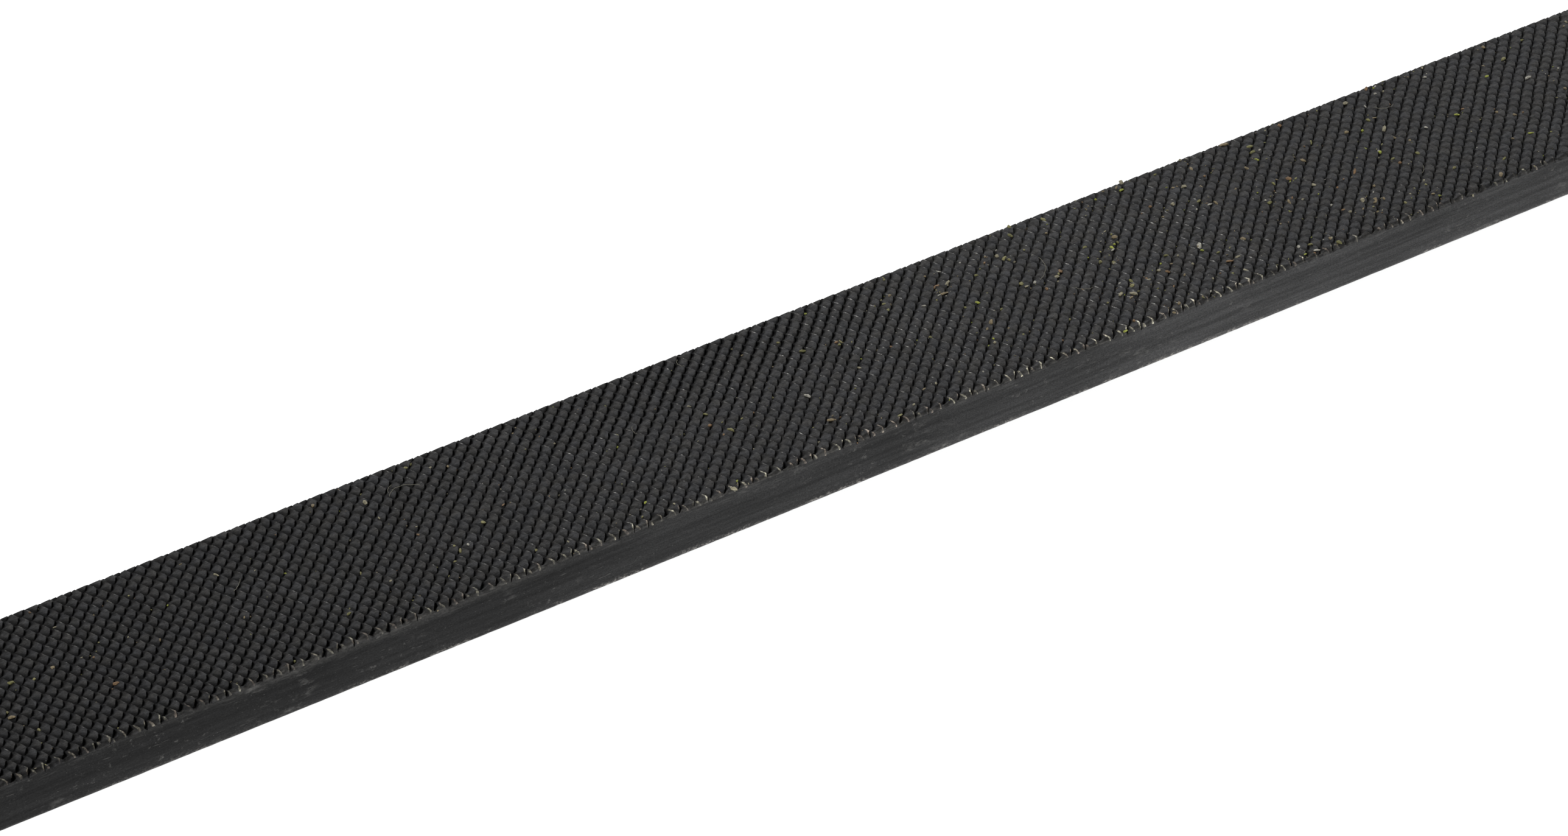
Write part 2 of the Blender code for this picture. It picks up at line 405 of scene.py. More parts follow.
# The slots' grime and painted shade are thickest around here.
DIRT_AND_SHADE_MIDDLE = 0.072
DIRT_AND_SHADE_SPREAD = 0.020


def blade_places(finish):
    """How far along the blade from its heel, across from its centre line, and up."""
    x, y, z = finish.split(finish.place)
    return finish.minus(x, heel), y, z


def ground_look(finish):
    """Colour of steel ground along its length: fine grain, streaks, pale rubs and knocks, and painted
    shade towards the heel.
    """
    along, _, z = blade_places(finish)
    lower = finish.times(z, -1.0)
    patches = finish.patches
    streak = {"stretch": (0.04, 1, 1), "detail": 4.0, "roughness": 0.6, "shift": (0, 0, 4.0)}
    shades = finish.times(
        patches(0.010, (0.3, 0.7, 0.85, 1.2), stretch=(0.5, 1, 1)),
        patches(0.00008, (0.3, 0.7, 0.65, 1.4), stretch=(0.6, 1, 1), roughness=0.7),
        patches(0.00030, (0.3, 0.7, 0.75, 1.3), **streak),
        # painted shade, darker towards the heel
        finish.window(along, *HEEL_SHADE_FADES, 0.42, 1.36),
        finish.window(lower, 0.0004, 0.0017, 1.0, 1.25),
    )
    rub = {"stretch": (0.35, 1, 1), "detail": 6.0, "roughness": 0.75, "shift": (2.0, 0, 0)}
    rubs = finish.times(
        patches(0.0008, (0.52, 0.70), **rub),
        patches(0.004, (0.50, 0.60), stretch=(0.5, 1, 1), detail=2.0, shift=(0, 5.0, 0)),
    )
    dash = {"stretch": (0.12, 1, 1), "detail": 2.0, "roughness": 0.6, "shift": (7.0, 0, 0)}
    dashes = patches(0.00020, (0.67, 0.76, 0, 0.9), **dash)
    ding = {"stretch": (0.7, 1, 1), "detail": 5.0, "roughness": 0.7, "shift": (0, 3.0, 0)}
    dings = finish.times(
        patches(0.00040, (0.56, 0.70), **ding),
        patches(0.0030, (0.50, 0.62), detail=1.0, shift=(4.0, 0, 0)),
    )
    flecks = patches(0.00010, (0.66, 0.76), stretch=(0.7, 1, 1), detail=2.0, shift=(0, 0, 9.0))
    hairline = {"stretch": (0.08, 1, 1), "detail": 4.0, "roughness": 0.7, "shift": (0, 0, 2.0)}
    by_teeth = finish.window(z, 0.0004, 0.0016, 0, 0.5)
    hairlines = finish.times(patches(0.00016, (0.50, 0.68), **hairline), by_teeth)
    marks = finish.times(finish.most(rubs, dashes, dings, flecks, hairlines), 0.5)
    knock = {"stretch": (0.6, 1, 1), "detail": 5.0, "roughness": 0.75, "shift": (5.0, 0, 0)}
    knocks = finish.times(
        patches(0.00020, (0.48, 0.62), **knock),
        patches(0.0025, (0.45, 0.60, 0.10, 0.85), detail=2.0, shift=(0, 2.0, 0)),
        finish.window(lower, 0.0012, 0.0017),
        finish.window(along, *KNOCKS_BEGIN, 0.35, 1.0),
    )
    colour = finish.blend(marks, finish.scaled(GROUND_TONE, shades), PALE_MARK)
    return finish.blend(knocks, colour, KNOCKED_CORNER)


def scuffed_corner(finish, colour, spared=None):
    """The blade's long upper corner by its smooth edge, rubbed paler in an uneven band."""
    along, y, z = blade_places(finish)
    window = finish.window
    waver = finish.noise(0.0008, detail=4.0, roughness=0.65, shift=(0, 6.0, 0))
    inward = finish.maths("MULTIPLY_ADD", waver, 0.0003, finish.total(y, half_width))
    height = finish.maths("MULTIPLY_ADD", waver, 0.0006, z)
    on_side = finish.times(window(height, 0.0012, 0.0017), window(along, *SIDE_RUBS_END, 0.32, 0.05))
    on_teeth = window(inward, 0.00005, 0.00030)
    scuff = {"stretch": (0.5, 1, 1), "detail": 4.0, "roughness": 0.7, "shift": (9.0, 0, 0)}
    share = finish.times(
        finish.most(on_side, window(z, 0.00143, 0.00154)),
        window(inward, 0.00020, 0.00048, 0.9, 0.0),
        finish.blend(on_teeth, (1.0, 1.0, 1.0), bright_teeth(finish)),
        finish.patches(0.00016, (0.38, 0.62, 0.30, 1.0), **scuff),
        window(along, *CORNER_RUBS_BEGIN, 0.05, 1.0),
    )
    if spared:
        share = finish.times(share, finish.minus(1.0, spared))
    return finish.blend(share, colour, WORN_CORNER)


def bright_teeth(finish):
    """Which teeth beside the smooth edge are rubbed bright and given a painted glint: few of them
    towards the point.
    """
    along = blade_places(finish)[0]
    pattern = {"detail": 2.0, "roughness": 0.6, "shift": (3.0, 3.0, 0)}
    places = finish.patches(0.0015, (0.42, 0.58, 0.30, 1.0), **pattern)
    return finish.times(places, finish.window(along, *BRIGHT_TEETH_END, 1.0, 0.5))


def dirt_and_shade_in_slots(finish):
    """How far oily dirt and painted shade fill the slots: most beside the smooth edge near the
    heel, and in the middle of the blade towards its far edge."""
    along, y, _ = blade_places(finish)
    window = finish.window
    filled = window(along, *SLOT_DIRT_AND_SHADE_THIN, 0.86, 0.42)
    middle = finish.bell(along, DIRT_AND_SHADE_MIDDLE, DIRT_AND_SHADE_SPREAD)
    middle = finish.times(middle, window(y, -0.001, 0.006, 0.0, 2.0))
    by_heel = finish.times(window(along, *RIM_DIRT_AND_SHADE_END, 0.4, 0.0), window(y, -0.008, -0.003, 1.0, 0.0))
    return finish.total(filled, middle, by_heel)


def cut_steel():
    """Hardened tooth steel: dark backs with painted shade in the gullets near the heel, black slots
    of grime and painted shade, and thin bright wear with painted glints along the crests.
    """
    finish = Finish("cut_steel", Metallic=0.85, Roughness=0.45)
    along = blade_places(finish)[0]
    window = finish.window
    blend = finish.blend
    smudge = finish.noise(0.00026, roughness=0.6, shift=(0, 4.0, 0))
    grain = finish.noise(0.00010, stretch=(0.5, 2.0, 1.0), roughness=0.6, shift=(3.1, 0.7, 0))
    shades = finish.times(
        finish.patches(0.0011, (0.3, 0.7, 0.88, 1.12), detail=4.0),
        window(smudge, 0.3, 0.7, 1.4, 0.6),
        window(grain, 0.3, 0.7, 0.75, 1.5),
        # painted shade, darker towards the heel
        window(along, *HEEL_SHADE_FADES, 0.74, 0.86),
        window(along, *BACKS_DARKEN, 1.0, 0.82),
    )
    backs = finish.scaled(BACK_TONE, shades)
    warmth = finish.noise(0.0010, roughness=0.6, shift=(0, 0, 11.0))
    warm = finish.vector("MULTIPLY", backs, (1.04, 1.00, 0.95))
    cool = finish.vector("MULTIPLY", backs, (0.98, 0.99, 1.04))
    backs = blend(window(warmth, 0.35, 0.65), cool, warm)
    # painted shade behind each crest, in the gullets near the heel
    gullet_shade_share = window(along, *GULLET_SHADE_FADES, 0.75, 0)
    backs = blend(finish.times(window(finish.attribute("gullet"), 0.15, 0.95), gullet_shade_share), backs, GRIME_AND_SHADE)
    # grime and painted shade in the slots
    slot = finish.times(
        window(finish.times(finish.attribute("slot"), dirt_and_shade_in_slots(finish)), 0.18, 0.46),
        window(warmth, 0.40, 0.65, 1.0, 0.92),
    )
    slots = blend(slot, backs, blend(window(along, *DUST_BEGINS), GRIME_AND_SHADE, PACKED_DUST))
    rim = finish.attribute("rim")
    at_rim = finish.maths("POWER", rim, 3.0)
    eased = finish.total(
        finish.noise(0.0006, detail=5.0, roughness=0.75, shift=(0, 0, 5.0)),
        finish.times(at_rim, bright_teeth(finish), 0.40),
        finish.times(finish.noise(0.011, detail=1.0, shift=(0, 8.0, 0)), 0.25),
        window(along, *WEAR_AND_GLINTS_EASE, 0, -0.14),
    )
    crest = finish.maths("MULTIPLY_ADD", at_rim, 0.30, finish.attribute("crest"))
    # bright wear with a painted glint along the crests and the hooks by the rim
    wear_and_glint = finish.times(
        window(crest, 0.55, 0.95),
        window(eased, 0.58, 0.80),
        window(along, *WEAR_AND_GLINTS_BEGIN, 0.40, 1.0),
        finish.patches(0.00016, (0.40, 0.60, 0.20, 1.15), roughness=0.7, shift=(0, 0, 13.0)),
    )
    rust = finish.patches(0.0012, (0.42, 0.58), detail=1.0, shift=(5.0, 5.0, 0))
    rubbed_and_glinting = blend(window(rim, 0.3, 0.9), WORN_STEEL_AND_GLINT, blend(rust, RIM_WORN_AND_GLINT, RIM_RUST))
    plain = window(finish.attribute("plain"), 0.35, 0.85)
    colour = blend(plain, blend(wear_and_glint, slots, rubbed_and_glinting), ground_look(finish))
    finish.feed("Base Color", scuffed_corner(finish, colour, slot))
    finish.feed("Roughness", window(wear_and_glint, 0.0, 1.0, 0.46, 0.28))
    finish.feed("Normal", finish.relief(grain, 0.000008, finish.relief(smudge, 0.00003)))
    return finish.material


def ground_steel():
    """The blade's plain surfaces, with fine marks of grinding along them."""
    finish = Finish("ground_steel", Metallic=0.85, Roughness=0.42)
    fine = finish.noise(0.00012, stretch=(0.25, 1, 1), shift=(0, 0, 4.0))
    finish.feed("Base Color", scuffed_corner(finish, ground_look(finish)))
    finish.feed("Roughness", finish.window(fine, 0.3, 0.7, 0.38, 0.52))
    finish.feed("Normal", finish.relief(fine, 0.000008))
    return finish.material


CUT_STEEL = cut_steel()
GROUND_STEEL = ground_steel()


# ------------------------------------------------------------------ the double-cut faces


def direction(angle):
    return Vector((math.cos(math.radians(angle)), math.sin(math.radians(angle)), 0))


def facing_point(along):
    """The direction across a cut, towards the point."""
    across = Vector((-along.y, along.x, 0))
    return across if across.x > 0 else -across


upcut_along = direction(UPCUT_ANGLE)
upcut_across = facing_point(upcut_along)
overcut_along = direction(OVERCUT_ANGLE)
overcut_across = facing_point(overcut_along)
# One tooth is a slanted cell: a step along each of these crosses one cut of one family.
overcut_step = upcut_along * (OVERCUT_PITCH * overcut_across.x / upcut_along.dot(overcut_across))
upcut_step = overcut_along * (UPCUT_PITCH * upcut_across.x / overcut_along.dot(upcut_across))
overcut_start = (cut_start - OVERCUT_LEAD) * overcut_across.x
upcut_start = cut_start * upcut_across.x


def tooth_side(share, crest, fullness):
    """How low a tooth is at this share of its pitch: 0 on the crest and -1 in the gullet."""
    if share <= crest:
        return (share / crest) ** fullness - 1
    return (1 - share) / (1 - crest) - 1


def one_tooth():
    """A flat grid over one cell that remembers how low each cut leaves it."""
    shape = bmesh.new()
    labels = ("overcut_low", "upcut_low", "slot", "crest", "hook", "gullet")
    overcut_low, upcut_low, slot, crest, hook, gullet = map(shape.verts.layers.float.new, labels)
    rows = []
    for overcut_share, dark, bright in zip(OVERCUT_BREAKS, SLOT_DARK, CREST_BRIGHT):
        row = []
        arch = 1 - (2 * min(1, overcut_share / OVERCUT_CREST) - 1) ** 2
        for upcut_share, opening, twist, hooked, gullet_shade in zip(
            UPCUT_BREAKS, SLOT_OPEN, TOOTH_TWIST, HOOK_BRIGHT, GULLET_DARK
        ):
            on_crest = upcut_share == UPCUT_CREST
            place = overcut_step * (overcut_share + twist)
            place += upcut_step * (upcut_share + UPCUT_BOW * arch * on_crest)
            corner = shape.verts.new(place)
            corner[upcut_low] = tooth_side(upcut_share, UPCUT_CREST, UPCUT_FULLNESS)
            corner[overcut_low] = tooth_side(overcut_share, OVERCUT_CREST, OVERCUT_FULLNESS) * opening
            # The slot carries grime and painted shade, the crest and hook wear and painted glints, and
            # the gullet painted shade.
            corner[slot] = dark * opening
            corner[crest] = bright * on_crest
            corner[hook] = hooked * (overcut_share == OVERCUT_CREST)
            corner[gullet] = gullet_shade
            row.append(corner)
        rows.append(row)
    for row, following in zip(rows, rows[1:]):
        for column in range(len(row) - 1):
            ring = (row[column], row[column + 1], following[column + 1], following[column])
            shape.faces.new(ring)
    face_outward(shape)
    return add_object("one_tooth", shape)


def cut_face_tree(values):
    """Teeth laid side by side over a face, each family with its own depth, start and unevenness."""
    wiring, given = tree_with_inputs("cut_face", values)
    maths = wiring.maths
    times = wiring.times
    minus = wiring.minus
    window = wiring.window
    vector = wiring.vector
    split = wiring.split

    def cloud(size, detail, shift):
        """An uneven pattern around 0."""
        moved = vector("ADD", wiring.add("GeometryNodeInputPosition"), given["Seed"])
        sockets = {"Vector": vector("ADD", moved, shift), "Scale": 1 / size, "Detail": detail}
        return minus(wiring.add("ShaderNodeTexNoise", sockets), 0.5)

    def attribute(name):
        return wiring.add("GeometryNodeInputNamedAttribute", {"Name": name}, data_type="FLOAT")

    # The lattice of teeth, thinned to those that touch the face.
    index = wiring.add("GeometryNodeInputIndex")
    row = maths("MODULO", index, given["Overcuts"])
    column = maths("FLOOR", maths("DIVIDE", index, given["Overcuts"]))
    along = wiring.scaled(given["Overcut Step"], row)
    across = wiring.scaled(given["Upcut Step"], column)
    place = vector("ADD", vector("ADD", along, across), given["First Tooth"])
    count = times(given["Overcuts"], given["Upcuts"])
    lattice = wiring.add("GeometryNodePoints", {"Count": count, "Position": place})
    offset = vector("SUBTRACT", wiring.add("GeometryNodeInputPosition"), given["Middle"])
    beyond = split(vector("SUBTRACT", vector("ABSOLUTE", offset), given["Half Size"]))
    outside = maths("GREATER_THAN", wiring.most(beyond[0], beyond[1]), FACE_MARGIN)
    lattice = wiring.add("GeometryNodeDeleteGeometry", {"Geometry": lattice, "Selection": outside})
    tooth = wiring.add("GeometryNodeObjectInfo", {"Object": given["Tooth"]}, output=4)
    teeth = wiring.add("GeometryNodeInstanceOnPoints", {"Points": lattice, "Instance": tooth})
    teeth = wiring.add("GeometryNodeRealizeInstances", {"Geometry": teeth})
    teeth = wiring.add("GeometryNodeMergeByDistance", {"Geometry": teeth, "Distance": WELD_WITHIN})

    # How deep each family is here: nothing before its first cut, and less towards the smooth edge.
    spot = wiring.add("GeometryNodeInputPosition")
    flat_x, flat_y, _ = split(spot)
    half_size_y = split(given["Half Size"])[1]
    from_rim = minus(half_size_y, times(flat_y, given["Safe Side"]))
    uneven_rim = maths("MULTIPLY_ADD", cloud(RIM_PATCH, 2.0, (0.2, 0.1, 0)), RIM_SPREAD, 1.0)
    from_rim = times(from_rim, uneven_rim)
    rim = minus(1.0, window(from_rim, RIM_FULLY_WORN_AND_GLINTING, given["Worn And Glinting Rim"]))
    deeper = maths("MULTIPLY_ADD", rim, RIM_DEEPER, 1.0)
    from_far = maths("MULTIPLY_ADD", flat_y, given["Safe Side"], half_size_y)
    shallower = window(from_far, *FAR_FADE, FAR_DEPTH, 1.0)
    lows = []
    shares = []
    for family, shift in (("Overcut", (0.3, 0, 0)), ("Upcut", (0, 0.3, 0))):
        sides = {0: spot, 1: given[f"{family} Across"]}
        travel = wiring.add("ShaderNodeVectorMath", sides, output=1, operation="DOT_PRODUCT")
        begun = maths("GREATER_THAN", travel, minus(given[f"{family} Start"], START_SLACK))
        full = given[f"{family} Rim"]
        share = times(begun, window(from_rim, minus(full, given["Rim Fade"]), full))
        uneven = maths("MULTIPLY_ADD", cloud(DEPTH_PATCH, 2.0, shift), DEPTH_SPREAD, 1.0)
        depth = times(given[f"{family} Depth"], uneven, share, shallower)
        lows.append(times(attribute(f"{family.lower()}_low"), depth))
        shares.append(share)
    lows[0] = times(lows[0], deeper)
    low = maths("SMOOTH_MIN", *lows, CREST_ROUND)
    crest_limit = maths("MULTIPLY_ADD", cloud(CREST_PATCH, 3.0, (0, 0, 0.4)), CREST_WORN, -CREST_LEAST)
    from_crown = maths("DIVIDE", minus(flat_x, given["Belly Crown"]), BELLY_REACH)
    belly = times(from_crown, from_crown, given["Belly Fall"])
    height = minus(maths("MINIMUM", low, crest_limit), belly)

    # A burr's small unevenness, in plan as well as in height.
    ragged = maths("MULTIPLY_ADD", rim, BURR_SHIFT_AT_RIM, BURR_SHIFT)
    aside = []
    for shift in (Vector((1, 0, 0)), Vector((0, 1, 0))):
        jitter = times(cloud(BURR_PATCH, 2.0, shift), ragged)
        drift = times(cloud(DRIFT_PATCH, 1.0, shift * 2), DRIFT_SHIFT)
        aside.append(wiring.total(jitter, drift))

    # What the finish reads: the overcut's slots, for grime and painted shade; the upcut's crests, for
    # wear and painted glints, and its gullets, for painted shade; and the rim.
    hook = times(attribute("hook"), rim)
    kept = {
        "slot": times(attribute("slot"), shares[0], deeper),
        "crest": times(wiring.most(attribute("crest"), hook), shares[1]),
        "rim": rim,
        "plain": minus(1.0, shares[1]),
        "gullet": times(attribute("gullet"), shares[1]),
    }
    for name, value in kept.items():
        sockets = {"Geometry": teeth, "Name": name, "Value": value}
        teeth = wiring.add("GeometryNodeStoreNamedAttribute", sockets, data_type="FLOAT", domain="POINT")
    move = wiring.joined(*aside, height)
    teeth = wiring.add("GeometryNodeSetPosition", {"Geometry": teeth, "Offset": move})
    wiring.send_out(teeth, given["Material"])
    return wiring


def corner_drop(from_edge):
    """How far the rounded corner lies under the face, at this distance in from the edge."""
    if from_edge >= CORNER_ROUND:
        return 0.0
    inward = CORNER_ROUND - max(0.0, from_edge)
    return CORNER_ROUND - math.sqrt(CORNER_ROUND**2 - inward**2)


def cross(shape, place, across, trim=False):
    """Add a row of edges where a plane crosses a mesh, or trim off what lies beyond it."""
    everything = [*shape.verts, *shape.edges, *shape.faces]
    bmesh.ops.bisect_plane(shape, geom=everything, plane_co=place, plane_no=across, clear_outer=trim)


def close_slab(shape, bottom):
    """Turn an open face into a closed slab: straight walls down from its rim, and a floor."""
    for face in shape.faces:
        face.smooth = True
    rim = [edge for edge in shape.edges if edge.is_boundary]
    walls = bmesh.ops.extrude_edge_only(shape, edges=rim)["geom"]
    labels = [shape.verts.layers.float[name] for name in ("slot", "crest")]
    for part in walls:
        if isinstance(part, bmesh.types.BMVert):
            part.co.z = bottom
            for label in labels:
                part[label] = 0.0
        if isinstance(part, bmesh.types.BMFace):
            part.material_index = 1
    floor_edges = [edge for edge in shape.edges if edge.is_boundary]
    floor = bmesh.ops.contextual_create(shape, geom=floor_edges)["faces"]
    for face in floor:
        face.material_index = 1
    face_outward(shape)


def lattice_crossing():
    """The point where the first overcut line crosses the first upcut line."""
    determinant = overcut_across.x * upcut_across.y - overcut_across.y * upcut_across.x
    x = (overcut_start * upcut_across.y - overcut_across.y * upcut_start) / determinant
    y = (overcut_across.x * upcut_start - overcut_start * upcut_across.x) / determinant
    return Vector((x, y, 0))


def cuts_over(low, high, across, start, pitch):
    """The first cut of a family that touches a face, and how many of them do."""
    counts = []
    for x in (low.x - FACE_MARGIN, high.x + FACE_MARGIN):
        for y in (low.y - FACE_MARGIN, high.y + FACE_MARGIN):
            counts.append((Vector((x, y, 0)).dot(across) - start) / (pitch * across.x))
    first = math.floor(min(counts))
    return first, math.ceil(max(counts)) - first


def cut_face(name, safe_side, rims, seed):
    """One double-cut face of the blade, as a slab; its smooth edge is on this side of it."""
    low = Vector((slab_start, -half_width, 0))
    high = Vector((slab_end, half_width, 0))
    first_overcut, overcuts = cuts_over(low, high, overcut_across, overcut_start, OVERCUT_PITCH)
    first_upcut, upcuts = cuts_over(low, high, upcut_across, upcut_start, UPCUT_PITCH)
    tooth = one_tooth()
    values = {
        "Tooth": tooth,
        "Overcut Step": overcut_step,
        "Upcut Step": upcut_step,
        "Overcuts": overcuts,
        "Upcuts": upcuts,
        "First Tooth": lattice_crossing() + overcut_step * first_overcut + upcut_step * first_upcut,
        "Middle": (low + high) / 2,
        "Half Size": (high - low) / 2,
        "Overcut Across": overcut_across,
        "Overcut Start": overcut_start,
        "Upcut Across": upcut_across,
        "Upcut Start": upcut_start,
        "Overcut Depth": OVERCUT_DEPTH,
        "Upcut Depth": UPCUT_DEPTH,
        "Belly Crown": belly_crown,
        "Belly Fall": BELLY_FALL,
        "Safe Side": safe_side,
        "Overcut Rim": rims[0],
        "Upcut Rim": rims[1],
        "Rim Fade": RIM_FADE,
        "Worn And Glinting Rim": WORN_AND_GLINTING_RIM,
        "Seed": Vector(seed),
        "Material": CUT_STEEL,
    }
    face = grow(name, cut_face_tree(values), values)
    discard(tooth)
    shape = bmesh.new()
    shape.from_mesh(face.data)
    bmesh.ops.translate(shape, verts=shape.verts, vec=(0, 0, half_thickness))
    across = Vector((0, safe_side, 0))
    cross(shape, (low.x, 0, 0), (-1, 0, 0), trim=True)
    cross(shape, (high.x, 0, 0), (1, 0, 0), trim=True)
    cross(shape, across * half_width, across, trim=True)
    cross(shape, -across * toothed_half_width, -across, trim=True)
    for share in CORNER_SHARES[1:]:
        cross(shape, across * (half_width - CORNER_ROUND * share), across)
    for corner in shape.verts:
        corner.co.z -= corner_drop(half_width - corner.co.y * safe_side)
    close_slab(shape, SLAB_BOTTOM)
    shape.to_mesh(face.data)
    shape.free()
    face.data.materials.append(GROUND_STEEL)
    face.data.set_sharp_from_angle(angle=math.radians(TEETH_SHARP_ABOVE))
    return face


def belongs(thing, node):
    """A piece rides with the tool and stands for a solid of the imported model."""
    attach(thing, "root")
    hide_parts(node)


upper_cut_face = cut_face("upper_cut_face", -1.0, (OVERCUT_RIM, UPCUT_RIM), (0, 0, 0))
belongs(upper_cut_face, "file_blade")
lower_cut_face = cut_face("lower_cut_face", 1.0, (LOWER_RIM, LOWER_RIM), (0.37, 0.11, 0))
lower_cut_face.data.transform(Matrix.Rotation(math.pi, 4, "X"))
belongs(lower_cut_face, "file_blade")


# ------------------------------------------------------------------ the rest of the blade


def rounded_section(x, near, far, half_height, corner):
    """A ring of points round the blade's section at x, with its four corners rounded."""
    size = corner / CORNER_ROUND
    quarter = [(share * corner, corner_drop(share * CORNER_ROUND) * size) for share in CORNER_SHARES]
    back = quarter[::-1]
    ring = [(x, near + inward, half_height - drop) for inward, drop in quarter]
    ring += [(x, far - inward, half_height - drop) for inward, drop in back]
    ring += [(x, far - inward, drop - half_height) for inward, drop in quarter]
    ring += [(x, near + inward, drop - half_height) for inward, drop in back]
    return ring


def tang_section(x):
    """Half width and half thickness of the tapered tang."""
    share = (x - tang_end) / (tang_root - tang_end)
    half_wide = TANG_END_WIDTH + (TANG_ROOT_WIDTH - TANG_END_WIDTH) * share
    half_thick = TANG_END_THICKNESS + (TANG_ROOT_THICKNESS - TANG_END_THICKNESS) * share
    return half_wide / 2, half_thick / 2


def blade_body():
    """Tang, shoulders, the plain middle between both cut faces, and the uncut end."""
    shape = bmesh.new()
    sections = []
    for step in range(TANG_RINGS):
        x = tang_end + (tang_root - tang_end) * step / TANG_RINGS
        wide, thick = tang_section(x)
        sections.append(rounded_section(x, -wide, wide, thick, CORNER_ROUND))
    root_wide, root_thick = tang_section(tang_root)
    for step in range(SHOULDER_RINGS + 1):
        share = step / SHOULDER_RINGS
        x = tang_root + SHOULDER_LENGTH * share
        wide = ease(root_wide, half_width, share)
        thick = ease(root_thick, face_height(cut_start), share)
        sections.append(rounded_section(x, -wide, wide, thick, CORNER_ROUND))
    heel_height = face_height(slab_start)
    sections.append(rounded_section(slab_start, -half_width, half_width, heel_height, CORNER_ROUND))
    loft(shape, sections)
    middle = []
    for x in (slab_start, slab_end):
        middle.append(rounded_section(x, -half_width, toothed_half_width, SLAB_BOTTOM, HIDDEN_ROUND))
    loft(shape, middle)
    end = []
    for x in (slab_end, point - POINT_CHAMFER):
        end.append(rounded_section(x, -half_width, half_width, face_height(x), CORNER_ROUND))
    width = half_width - POINT_CHAMFER
    end.append(rounded_section(point, -width, width, face_height(point) - POINT_CHAMFER, CORNER_ROUND))
    loft(shape, end)
    face_outward(shape)
    body = add_object("blade_body", shape, GROUND_STEEL)
    shade(body, BODY_SHARP_ABOVE)
    return body


belongs(blade_body(), "file_blade")


def edge_tooth():
    """One ridge of the far edge's single cut, with a steep front and a sloping back."""
    shape = bmesh.new()
    sections = []
    for z, foot, crest in (
        (-EDGE_HEIGHT - EDGE_END, -EDGE_SINK, -EDGE_SINK),
        (-EDGE_HEIGHT, 0.0, EDGE_DEPTH),
        (EDGE_HEIGHT, 0.0, EDGE_DEPTH),
        (EDGE_HEIGHT + EDGE_END, -EDGE_SINK, -EDGE_SINK),
    ):
        shift = z / math.tan(math.radians(EDGE_ANGLE))
        sections.append([
            (shift, foot, z),
            (shift + EDGE_PITCH * UPCUT_CREST * 0.5, foot + (crest - foot) * EDGE_FULLNESS, z),
            (shift + EDGE_PITCH * UPCUT_CREST, crest, z),
            (shift + EDGE_PITCH, foot, z),
            (shift + EDGE_PITCH, -EDGE_DEPTH, z),
            (shift, -EDGE_DEPTH, z),
        ])
    loft(shape, sections)
    bmesh.ops.triangulate(shape, faces=shape.faces)
    face_outward(shape)
    return add_object("edge_tooth", shape)


def edge_teeth():
    """The far edge's single cut, laid along the blade, with the plain strip at its heel."""
    tooth = edge_tooth()
    teeth_start = cut_start - OVERCUT_LEAD
    room = slab_end - teeth_start - 2 * EDGE_HEIGHT / math.tan(math.radians(EDGE_ANGLE))
    values = {
        "Tooth": tooth,
        "Teeth": math.floor(room / EDGE_PITCH),
        "First Tooth": Vector((teeth_start + EDGE_HEIGHT / 2, toothed_half_width, 0)),
        "Pitch": Vector((EDGE_PITCH, 0, 0)),
        "Unevenness": EDGE_UNEVENNESS,
        "Seed": EDGE_SEED,
        "Material": GROUND_STEEL,
    }
    wiring, given = tree_with_inputs("edge_cut", values)
    line = {"Count": given["Teeth"], "Start Location": given["First Tooth"], "Offset": given["Pitch"]}
    row = wiring.add("GeometryNodeMeshLine", line)
    ridge = wiring.add("GeometryNodeObjectInfo", {"Object": given["Tooth"]}, output=4)
    chance = {2: wiring.minus(1.0, given["Unevenness"]), 3: 1.0, "Seed": given["Seed"]}
    size = wiring.add("FunctionNodeRandomValue", chance, output=1, data_type="FLOAT")
    sockets = {"Points": row, "Instance": ridge, "Scale": wiring.joined(1.0, size, 1.0)}
    teeth = wiring.add("GeometryNodeInstanceOnPoints", sockets)
    teeth = wiring.add("GeometryNodeRealizeInstances", {"Geometry": teeth})
    wiring.send_out(teeth, given["Material"])
    edge = grow("edge_teeth", wiring, values)
    discard(tooth)
    shape = bmesh.new()
    shape.from_mesh(edge.data)
    height = half_thickness - CORNER_ROUND
    near = toothed_half_width - EDGE_DEPTH
    strip = []
    for x in (slab_start, teeth_start):
        corners = ((near, -height), (near, height), (half_width, height), (half_width, -height))
        strip.append([(x, y, z) for y, z in corners])
    loft(shape, strip)
    face_outward(shape)
    shape.to_mesh(edge.data)
    shape.free()
    return edge


belongs(edge_teeth(), "file_blade")


# ------------------------------------------------------------------ handle

BUTT_RADIUS = 0.0050
BUTT_ROUND = 0.0008
BELLY_PLACE = 0.034
GRIP_FLATS = 8
FLATS_START = 0.014
FLATS_END = 0.056
FLATS_FADE = 0.014
FLAT_HALF_ANGLE = 16.0  # from a flat's middle to the rounding of its arris
FLAT_TURNS = (-20.6, -18.4, -FLAT_HALF_ANGLE, -8, 0, 8, FLAT_HALF_ANGLE, 18.4, 20.6)
ARRIS_SHARE = 0.8  # how far an arris stands out, against a sharp one
WAIST_RADIUS = 0.0090
WAIST_PLACE = 0.067
COLLAR_RADIUS = 0.0100
COLLAR_PLACE = 0.080
COLLAR_EDGE_RADIUS = 0.0094
CLEARANCE = 0.0003
SOCKET_SPARE = 0.002
LINE_PLACES = (0.0778, 0.0794)  # two fine lines turned into the collar
LINE_SHARES = (-1, -0.6, -0.25, 0, 0.25, 0.6, 1)
LINE_DEPTH = 0.00022
LINE_HALF_WIDTH = 0.00028
GRIP_RINGS = 16  # between two stations of the grip
DOME_RINGS = 24
WOOD_SHARP_ABOVE = 32

FERRULE_WALL = 0.0008
belly_radius = handle_far.z
collar_end = ferrule_near.x - CLEARANCE
seat_end = handle_far.x


